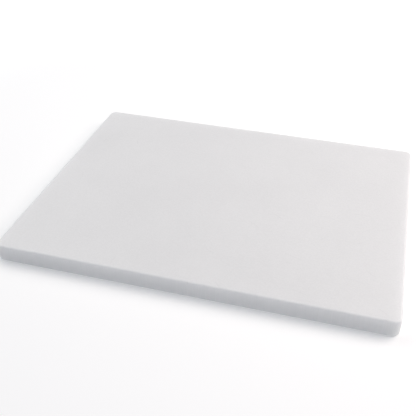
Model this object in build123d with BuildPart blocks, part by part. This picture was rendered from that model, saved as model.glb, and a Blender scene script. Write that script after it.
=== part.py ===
"""A commercial kitchen cutting board: one slab of white polyethylene sheet.

The frame: the origin is the middle of the underside, +X runs along the long side, +Y runs from the front
long edge to the back one, and +Z points up out of the work surface. Lengths are in millimetres.
"""

from build123d import *

import os

BOARD_LENGTH = 508.0  # along X, 20 in
BOARD_WIDTH = 381.0  # along Y, 15 in
BOARD_THICKNESS = 24.0  # along Z, 1 in sheet after both faces are planed flat
CORNER_RADIUS = 9.5  # of the four corners, seen from above, 3/8 in
EDGE_RADIUS = 2.5  # of the round-over routed along every top and bottom edge

os.makedirs("parts", exist_ok=True)

# The board is sawn from flat sheet with rounded corners, then a round-over bit follows the whole outline
# on both faces.
with BuildPart() as board:
    with BuildSketch(Plane.XY):
        RectangleRounded(BOARD_LENGTH, BOARD_WIDTH, CORNER_RADIUS)
    extrude(amount=BOARD_THICKNESS)
    underside = board.faces().sort_by(Axis.Z).first
    work_surface = board.faces().sort_by(Axis.Z).last
    fillet(underside.edges() + work_surface.edges(), radius=EDGE_RADIUS)

board.part.label = "board"
export_step(board.part, "parts/board.step")
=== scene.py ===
"""Looks of the white polyethylene cutting board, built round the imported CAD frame.

The board is one slab. Its mesh is made here from the CAD node's box, with true round-overs, and its material
has the polyethylene's pebbled faces, routed sides and soft translucency. Lengths are in metres.
"""

import math

import bmesh
import bpy
from mathutils import Euler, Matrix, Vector, noise


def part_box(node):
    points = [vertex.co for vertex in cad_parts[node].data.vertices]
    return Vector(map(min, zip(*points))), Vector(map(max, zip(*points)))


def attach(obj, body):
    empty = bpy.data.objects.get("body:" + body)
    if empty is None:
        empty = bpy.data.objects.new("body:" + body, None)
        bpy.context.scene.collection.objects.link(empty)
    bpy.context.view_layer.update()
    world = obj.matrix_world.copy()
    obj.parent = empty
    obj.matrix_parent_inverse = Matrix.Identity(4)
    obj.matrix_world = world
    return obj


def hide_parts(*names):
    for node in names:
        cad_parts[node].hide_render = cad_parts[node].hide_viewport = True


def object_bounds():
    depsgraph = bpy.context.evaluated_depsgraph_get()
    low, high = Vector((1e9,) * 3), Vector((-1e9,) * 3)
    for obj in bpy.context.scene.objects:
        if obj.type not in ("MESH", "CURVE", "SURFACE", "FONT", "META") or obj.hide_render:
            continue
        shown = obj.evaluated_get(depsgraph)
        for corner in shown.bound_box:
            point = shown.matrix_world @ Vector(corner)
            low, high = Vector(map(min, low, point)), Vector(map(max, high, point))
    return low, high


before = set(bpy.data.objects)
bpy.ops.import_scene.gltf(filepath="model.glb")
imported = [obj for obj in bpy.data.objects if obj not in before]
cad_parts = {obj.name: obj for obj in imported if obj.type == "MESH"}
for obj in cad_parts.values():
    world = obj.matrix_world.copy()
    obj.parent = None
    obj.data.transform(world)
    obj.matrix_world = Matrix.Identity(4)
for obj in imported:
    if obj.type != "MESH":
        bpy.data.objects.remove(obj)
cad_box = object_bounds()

MM = 0.001
DEG = math.radians(1)

# The slab's shape, beside the sizes that the CAD node's box gives.
CORNER_RADIUS = 9.5 * MM
EDGE_RADIUS = 2.5 * MM
LONG_STEPS, SHORT_STEPS = 150, 112
CORNER_STEPS = 14
ROUND_OVER_STEPS = 8
WALL_STEPS = 10
RIM_SHARES = (0.0, 0.5, 0.85, 0.98)  # loops on the flat rim, from the corner's centre to the round-over
WAVE_DEPTH = 0.06 * MM  # how far the hand-fed router wanders
WAVE_PITCH = 45 * MM

# The plastic.
POLYETHYLENE = (0.80, 0.80, 0.80)
REFRACTIVE_INDEX = 1.54
DEPTH_OF_LIGHT = 11 * MM  # how far light spreads inside it
MIDDLE_ROUGHNESS = 0.46

# How far apart the lumps of each kind of mark are.
PEBBLE_PITCH = 1.9 * MM
GRAIN_PITCH = 0.6 * MM
CLOUD_PITCH = 90 * MM
CHATTER_PITCH = 1.6 * MM
BIT_LINE_PITCH = 0.9 * MM
NICK_PITCH = 7 * MM
USED_PATCH_PITCH = 150 * MM

# How noise is scaled along each axis to draw it out into upright marks and into level ones.
UPRIGHT = (1, 1, 0.06)
LEVEL = (0.02, 0.02, 1)

# The part of the noise's range, which is 0 to 1, over which a mark comes in.
PEBBLE_RANGE = (0.30, 0.70)
NICK_RANGE = (0.60, 0.72)
USED_PATCH_RANGE = (0.38, 0.58)
LEAST_USE = 0.15  # the strength of the knife scores outside the well-used patches

# Knife scores: direction, cell along and across the stroke, share of cells with a stroke, and half its width.
SCORES = (
    (12 * DEG, (85 * MM, 15 * MM), 0.6, 0.50 * MM),
    (66 * DEG, (64 * MM, 19 * MM), 0.5, 0.45 * MM),
    (-37 * DEG, (48 * MM, 26 * MM), 0.4, 0.45 * MM),
)
SCORE_ENDS = (0.1, 0.42)  # where a stroke starts to fade and where it ends, from its cell's middle
MOST_TILT = 0.8  # how many cell widths a stroke may lean over one cell's length

# What each mark adds to the colour's brightness, as a share of it, to the roughness, and to the height, in
# millimetres.
# In the colour, the pebble and chatter paint shading of their relief, lighter on the lumps and ridges. The
# scores and nicks paint shade, darker in the grooves and dents. The cloud is the plastic's own uneven colour.
TONE_AND_PAINTED_SHADE = {"cloud": 0.04, "pebble": 0.03, "scores": -0.05, "nicks": -0.04, "chatter": 0.08}
ROUGHNESS = {"cloud": 0.12, "grain": 0.08, "scores": -0.10, "chatter": 0.30}
HEIGHT = {
    "pebble": 0.050,
    "face_grain": 0.010,
    "scores": -0.09,
    "nicks": -0.12,
    "chatter": 0.050,
    "bit_lines": 0.025,
}

# The camera, at the photograph's viewing angle.
CAMERA_PLACE = Vector((0.1838, -0.7074, 0.5338))
CAMERA_HEADING = 14.80 * DEG  # to the left of +Y
CAMERA_TILT = 36.23 * DEG  # below the horizon
CAMERA_ROLL = 0.50 * DEG
CAMERA_LENS = 54.05  # mm, on a 36 mm sensor
CAMERA_SHIFT_X = -0.0358

# The studio.
FLOOR_SIZE = 14.0
FLOOR_GAP = 0.1 * MM  # keeps the floor off the underside's own plane
FLOOR_COLOUR = (0.78, 0.78, 0.78, 1)
FLOOR_GLOW = 0.28  # light from under the white sweep, which keeps shadows on it faint
FAR_GLOW = 0.80
GLOW_RISES = (0.55, 1.5)  # the distance over which the glow goes up, so that the sweep stays pale
BACKDROP_COLOUR = (0.95, 0.955, 0.965)  # close to the far floor, so that the horizon is faint
ROOM_LIGHT = (0.20, 0.225, 0.27)
SOFTBOX_SIDE = 1.6
# Softboxes: name, place, power in watts and colour.
SOFTBOXES = (
    ("over_right", (1.2, 0.5, 1.5), 34, (1.0, 0.92, 0.87)),
    ("over_left", (-1.2, 0.5, 1.5), 13.6, (1.0, 1.0, 0.955)),
)


# ---------------------------------------------------------------- the slab's mesh


def outline(half_x, half_y):
    """(inner point, outward direction) pairs round the slab, anticlockwise. The inner point is level with the
    corner circles' centres."""
    x, y = half_x - CORNER_RADIUS, half_y - CORNER_RADIUS
    corners = [Vector((x, -y)), Vector((x, y)), Vector((-x, y)), Vector((-x, -y))]
    side_steps = [SHORT_STEPS, LONG_STEPS, SHORT_STEPS, LONG_STEPS]
    pairs = []
    for turn, corner in enumerate(corners):
        next_corner = corners[(turn + 1) % 4]
        facing = 90 * DEG * turn
        for i in range(CORNER_STEPS):
            angle = facing + 90 * DEG * (i / CORNER_STEPS - 1)
            pairs.append((corner, Vector((math.cos(angle), math.sin(angle)))))
        out = Vector((math.cos(facing), math.sin(facing)))
        for i in range(side_steps[turn]):
            pairs.append((corner.lerp(next_corner, i / side_steps[turn]), out))
    return pairs


def edge_profile(thickness):
    """(outward, up, wall) places from the work surface over the edge to the underside. wall is 0 on the faces
    and 1 on the wall."""
    flat = CORNER_RADIUS - EDGE_RADIUS
    upper = [(flat * share, thickness, 0.0) for share in RIM_SHARES]
    for i in range(ROUND_OVER_STEPS + 1):
        turn = 90 * DEG * i / ROUND_OVER_STEPS
        out, up = EDGE_RADIUS * math.sin(turn), EDGE_RADIUS * (math.cos(turn) - 1)
        upper.append((flat + out, thickness + up, i / ROUND_OVER_STEPS))
    wall_height = thickness - 2 * EDGE_RADIUS
    wall = [
        (CORNER_RADIUS, EDGE_RADIUS + wall_height * (1 - i / WALL_STEPS), 1.0)
        for i in range(1, WALL_STEPS)
    ]
    lower = [(out, thickness - up, share) for out, up, share in reversed(upper)]
    return upper + wall + lower


def add_rim(bm, pairs, profile, wall_layer):
    """The ring of faces that goes from the work surface's flat over the edge to the underside's."""
    columns = []
    for inner, out in pairs:
        column = []
        for reach, up, wall in profile:
            vertex = bm.verts.new((*(inner + out * reach), up))
            vertex[wall_layer] = wall
            column.append(vertex)
        columns.append(column)
    for here, after in zip(columns, columns[1:] + columns[:1]):
        for i in range(len(profile) - 1):
            bm.faces.new((here[i], here[i + 1], after[i + 1], after[i]))


def add_face(bm, half_x, half_y, height, upward):
    """The flat middle of one face, a grid whose border meets the rim's."""
    x, y = half_x - CORNER_RADIUS, half_y - CORNER_RADIUS
    rows = [
        [
            bm.verts.new((x * (2 * i / LONG_STEPS - 1), y * (2 * j / SHORT_STEPS - 1), height))
            for i in range(LONG_STEPS + 1)
        ]
        for j in range(SHORT_STEPS + 1)
    ]
    for lower, upper in zip(rows, rows[1:]):
        for i in range(LONG_STEPS):
            corners = [lower[i], lower[i + 1], upper[i + 1], upper[i]]
            bm.faces.new(corners if upward else corners[::-1])


def wander(bm, wall_layer):
    """The wall strays a few hundredths of a millimetre inwards, as a hand-fed cut does."""
    for vertex in bm.verts:
        amount = vertex[wall_layer] * WAVE_DEPTH * (noise.noise(vertex.co / WAVE_PITCH) - 1) / 2
        sideways = Vector((vertex.normal.x, vertex.normal.y, 0))
        vertex.co += sideways * amount


def build_slab(node):
    """The board's mesh object, as large as its CAD node's box."""
    low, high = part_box(node)
    half_x, half_y = (high.x - low.x) / 2, (high.y - low.y) / 2
    thickness = high.z - low.z
    bm = bmesh.new()
    wall_layer = bm.verts.layers.float.new("wall")
    add_rim(bm, outline(half_x, half_y), edge_profile(thickness), wall_layer)
    add_face(bm, half_x, half_y, thickness, upward=True)
    add_face(bm, half_x, half_y, 0, upward=False)
    bmesh.ops.remove_doubles(bm, verts=bm.verts, dist=0.01 * MM)
    bmesh.ops.recalc_face_normals(bm, faces=bm.faces)
    bm.normal_update()
    wander(bm, wall_layer)
    bmesh.ops.translate(bm, verts=bm.verts, vec=((low.x + high.x) / 2, (low.y + high.y) / 2, low.z))
    mesh = bpy.data.meshes.new("polyethylene_slab")
    bm.to_mesh(mesh)
    bm.free()
    mesh.shade_smooth()
    slab = bpy.data.objects.new("polyethylene_slab", mesh)
    bpy.context.scene.collection.objects.link(slab)
    return slab


# ---------------------------------------------------------------- material helpers


class Nodes:
    """A material's node tree with short ways to add the nodes used here."""

    def __init__(self, name):
        self.material = bpy.data.materials.new(name)
        self.material.use_nodes = True
        self.tree = self.material.node_tree
        self.shader = self.tree.nodes["Principled BSDF"]

    def add(self, kind, links=None, **settings):
        """A node with its attributes set, and its inputs linked to sockets or set to values by name."""
        node = self.tree.nodes.new(kind)
        for key, value in settings.items():
            setattr(node, key, value)
        for name, value in (links or {}).items():
            self.feed(node.inputs[name], value)
        return node

    def feed(self, socket, value):
        if isinstance(value, bpy.types.NodeSocket):
            self.tree.links.new(value, socket)
        else:
            socket.default_value = value

    def math(self, operation, first, second=0.0, third=0.0):
        return self.add("ShaderNodeMath", {0: first, 1: second, 2: third}, operation=operation).outputs[0]

    def vector_math(self, operation, first, second):
        return self.add("ShaderNodeVectorMath", {0: first, 1: second}, operation=operation).outputs[0]

    def noise(self, place, pitch, detail=2.0):
        """Noise from 0 to 1 whose lumps are about pitch metres apart."""
        links = {"Vector": place, "Scale": 1 / pitch, "Detail": detail}
        return self.add("ShaderNodeTexNoise", links).outputs[0]

    def centred_noise(self, place, pitch, detail=2.0):
        """The same noise from -0.5 to 0.5, which leaves the mean as it is."""
        return self.math("SUBTRACT", self.noise(place, pitch, detail), 0.5)

    def remap(self, value, low, high, to_low, to_high):
        """value from low..high to to_low..to_high, clamped and smooth at both ends."""
        links = {0: value, 1: low, 2: high, 3: to_low, 4: to_high}
        return self.add("ShaderNodeMapRange", links, interpolation_type="SMOOTHSTEP").outputs[0]

    def stretched(self, place, turn, stretch):
        """place turned about Z and then scaled per axis."""
        links = {"Vector": place, "Rotation": (0, 0, turn), "Scale": stretch}
        return self.add("ShaderNodeMapping", links, vector_type="POINT").outputs[0]

    def total(self, start, marks, shares):
        """start plus each named mark times its share."""
        for name, share in shares.items():
            start = self.math("MULTIPLY_ADD", marks[name], share, start)
        return start


# ---------------------------------------------------------------- the polyethylene


def knife_scores(nodes, place, turn, cell, share, width):
    """0 to 1 where a knife has scored the board. Space is cut into long cells along one direction, and a
    share of them hold one straight stroke each, with a tilt and a depth of its own. width is half the
    stroke's."""
    along, across = cell
    spot = nodes.stretched(place, turn, (1 / along, 1 / across, 0))
    voronoi = nodes.add("ShaderNodeTexVoronoi", {"Vector": spot, "Scale": 1.0}, voronoi_dimensions="2D")
    offset = nodes.vector_math("SUBTRACT", spot, voronoi.outputs["Position"])
    split = nodes.add("ShaderNodeSeparateXYZ", {0: offset})
    chance = nodes.add("ShaderNodeSeparateColor", {0: voronoi.outputs["Color"]})
    tilt = nodes.math("MULTIPLY_ADD", chance.outputs[1], 2 * MOST_TILT, -MOST_TILT)
    level = nodes.math("MULTIPLY_ADD", split.outputs[0], tilt, split.outputs[1])
    stroke = nodes.remap(nodes.math("ABSOLUTE", level), 0.0, width / across, 1.0, 0.0)
    ends = nodes.remap(nodes.math("ABSOLUTE", split.outputs[0]), *SCORE_ENDS, 1.0, 0.0)
    depth = nodes.remap(chance.outputs[0], 0.0, share, 1.0, 0.0)
    return nodes.math("MULTIPLY", nodes.math("MULTIPLY", stroke, ends), depth)


def worked_face(nodes, place, face):
    """0 to 1 where knives have scored the faces, mostly in the well-used patches."""
    marks = [knife_scores(nodes, place, *score) for score in SCORES]
    deepest = nodes.math("MAXIMUM", nodes.math("MAXIMUM", marks[0], marks[1]), marks[2])
    patches = nodes.noise(place, USED_PATCH_PITCH, detail=1.0)
    use = nodes.remap(patches, *USED_PATCH_RANGE, LEAST_USE, 1.0)
    return nodes.math("MULTIPLY", nodes.math("MULTIPLY", deepest, use), face)


def edge_nicks(nodes, place, wall):
    """0 to 1 in the small dents along the round-overs, where the board has knocked against things. They are
    deepest in the middle of a round-over and gone where it meets a flat."""
    edge = nodes.remap(nodes.math("ABSOLUTE", nodes.math("SUBTRACT", wall, 0.5)), 0.15, 0.5, 1.0, 0.0)
    dents = nodes.remap(nodes.noise(place, NICK_PITCH), *NICK_RANGE, 0.0, 1.0)
    return nodes.math("MULTIPLY", dents, edge)


def surface_marks(nodes):
    """Each kind of mark on the board, by name. The scores and nicks are 0 where nothing has touched the board
    and 1 where they are deepest. The others go from -0.5 to 0.5."""
    place = nodes.add("ShaderNodeTexCoord").outputs["Object"]
    wall = nodes.add("ShaderNodeAttribute", attribute_name="wall").outputs["Fac"]
    face = nodes.remap(wall, 0.0, 0.6, 1.0, 0.0)
    pebble = nodes.remap(nodes.noise(place, PEBBLE_PITCH, detail=1.0), *PEBBLE_RANGE, -0.5, 0.5)
    grain = nodes.centred_noise(place, GRAIN_PITCH)
    chatter = nodes.centred_noise(nodes.stretched(place, 0.0, UPRIGHT), CHATTER_PITCH)
    bit_lines = nodes.centred_noise(nodes.stretched(place, 0.0, LEVEL), BIT_LINE_PITCH)
    return {
        "cloud": nodes.centred_noise(place, CLOUD_PITCH, detail=3.0),
        "grain": grain,
        "pebble": nodes.math("MULTIPLY", pebble, face),
        "face_grain": nodes.math("MULTIPLY", grain, face),
        "scores": worked_face(nodes, place, face),
        "nicks": edge_nicks(nodes, place, wall),
        "chatter": nodes.math("MULTIPLY", chatter, wall),
        "bit_lines": nodes.math("MULTIPLY", bit_lines, wall),
    }


def polyethylene():
    """White high-density polyethylene: pebbled matte faces, routed walls, light knife scores and a soft
    translucency. Its colour is painted lighter on the pebble's lumps and the chatter's ridges and darker in
    the scores and nicks, as shade of that relief."""
    nodes = Nodes("pebbled_polyethylene")
    marks = surface_marks(nodes)
    # The colour's brightness: the plastic's own uneven cloud, plus painted shading of the relief from the
    # marks.
    tone_with_painted_shade = nodes.total(1.0, marks, TONE_AND_PAINTED_SHADE)
    colour = nodes.add("ShaderNodeVectorMath", {0: POLYETHYLENE, "Scale": tone_with_painted_shade}, operation="SCALE")
    height = nodes.total(0.0, marks, HEIGHT)
    bump = nodes.add("ShaderNodeBump", {"Height": height, "Distance": MM, "Strength": 1.0})
    sockets = {
        "Base Color": colour.outputs[0],
        "Roughness": nodes.total(MIDDLE_ROUGHNESS, marks, ROUGHNESS),
        "Normal": bump.outputs[0],
        "IOR": REFRACTIVE_INDEX,
        "Subsurface Weight": 1.0,
        "Subsurface Radius": (1.0, 1.0, 1.0),
        "Subsurface Scale": DEPTH_OF_LIGHT,
    }
    for name, value in sockets.items():
        nodes.feed(nodes.shader.inputs[name], value)
    return nodes.material


# ---------------------------------------------------------------- studio


def make_floor(height):
    """A plain pale floor, brightened a little like a lit white sweep."""
    mesh = bpy.data.meshes.new("floor")
    half = FLOOR_SIZE / 2
    corners = [(-half, -half, height), (half, -half, height), (half, half, height), (-half, half, height)]
    mesh.from_pydata(corners, [], [(0, 1, 2, 3)])
    floor = bpy.data.objects.new("floor", mesh)
    bpy.context.scene.collection.objects.link(floor)
    nodes = Nodes("floor_white")
    nodes.feed(nodes.shader.inputs["Base Color"], FLOOR_COLOUR)
    nodes.feed(nodes.shader.inputs["Roughness"], 0.9)
    nodes.feed(nodes.shader.inputs["Specular IOR Level"], 0.0)
    nodes.feed(nodes.shader.inputs["Emission Color"], (1, 1, 1, 1))
    place = nodes.add("ShaderNodeTexCoord").outputs["Object"]
    distance = nodes.add("ShaderNodeVectorMath", {0: place}, operation="LENGTH").outputs["Value"]
    glow = nodes.remap(distance, *GLOW_RISES, FLOOR_GLOW, FAR_GLOW)
    nodes.feed(nodes.shader.inputs["Emission Strength"], glow)
    mesh.materials.append(nodes.material)


def make_world():
    """Dim light from all round, in front of a pale backdrop that lights nothing."""
    world = bpy.data.worlds.new("studio")
    world.use_nodes = True
    tree = world.node_tree
    seen = tree.nodes.new("ShaderNodeLightPath").outputs["Is Camera Ray"]
    shade = tree.nodes.new("ShaderNodeMix")
    shade.data_type = "RGBA"
    shade.inputs["A"].default_value = (*ROOM_LIGHT, 1)
    shade.inputs["B"].default_value = (*BACKDROP_COLOUR, 1)
    tree.links.new(seen, shade.inputs["Factor"])
    tree.links.new(shade.outputs["Result"], tree.nodes["Background"].inputs["Color"])
    bpy.context.scene.world = world


def softbox(name, place, power, colour):
    """A square area light at place that faces the board."""
    light = bpy.data.lights.new(name, "AREA")
    light.size = SOFTBOX_SIDE
    light.energy = power
    light.color = colour
    lamp = bpy.data.objects.new(name, light)
    lamp.location = place
    lamp.rotation_euler = (-Vector(place)).to_track_quat("-Z", "Y").to_euler()
    bpy.context.scene.collection.objects.link(lamp)


def make_camera():
    data = bpy.data.cameras.new("camera")
    data.sensor_width = 36
    data.lens = CAMERA_LENS
    data.shift_x = CAMERA_SHIFT_X
    camera = bpy.data.objects.new("camera", data)
    camera.location = CAMERA_PLACE
    heading = Euler((0, 0, CAMERA_HEADING)).to_matrix()
    tilt = Euler((90 * DEG - CAMERA_TILT, 0, 0)).to_matrix()
    roll = Euler((0, 0, CAMERA_ROLL)).to_matrix()
    camera.rotation_euler = (heading @ tilt @ roll).to_euler()
    bpy.context.scene.collection.objects.link(camera)
    bpy.context.scene.camera = camera


make_camera()

slab = build_slab("board")
slab.data.materials.append(polyethylene())
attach(slab, "root")
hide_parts("board")

make_world()
make_floor(cad_box[0].z - FLOOR_GAP)
for settings in SOFTBOXES:
    softbox(*settings)
bpy.context.scene.view_settings.view_transform = "Standard"
# For a model with its material baked to textures: the default margin leaves dark pixels along some seams.
bpy.context.scene.render.bake.margin_type = "EXTEND"
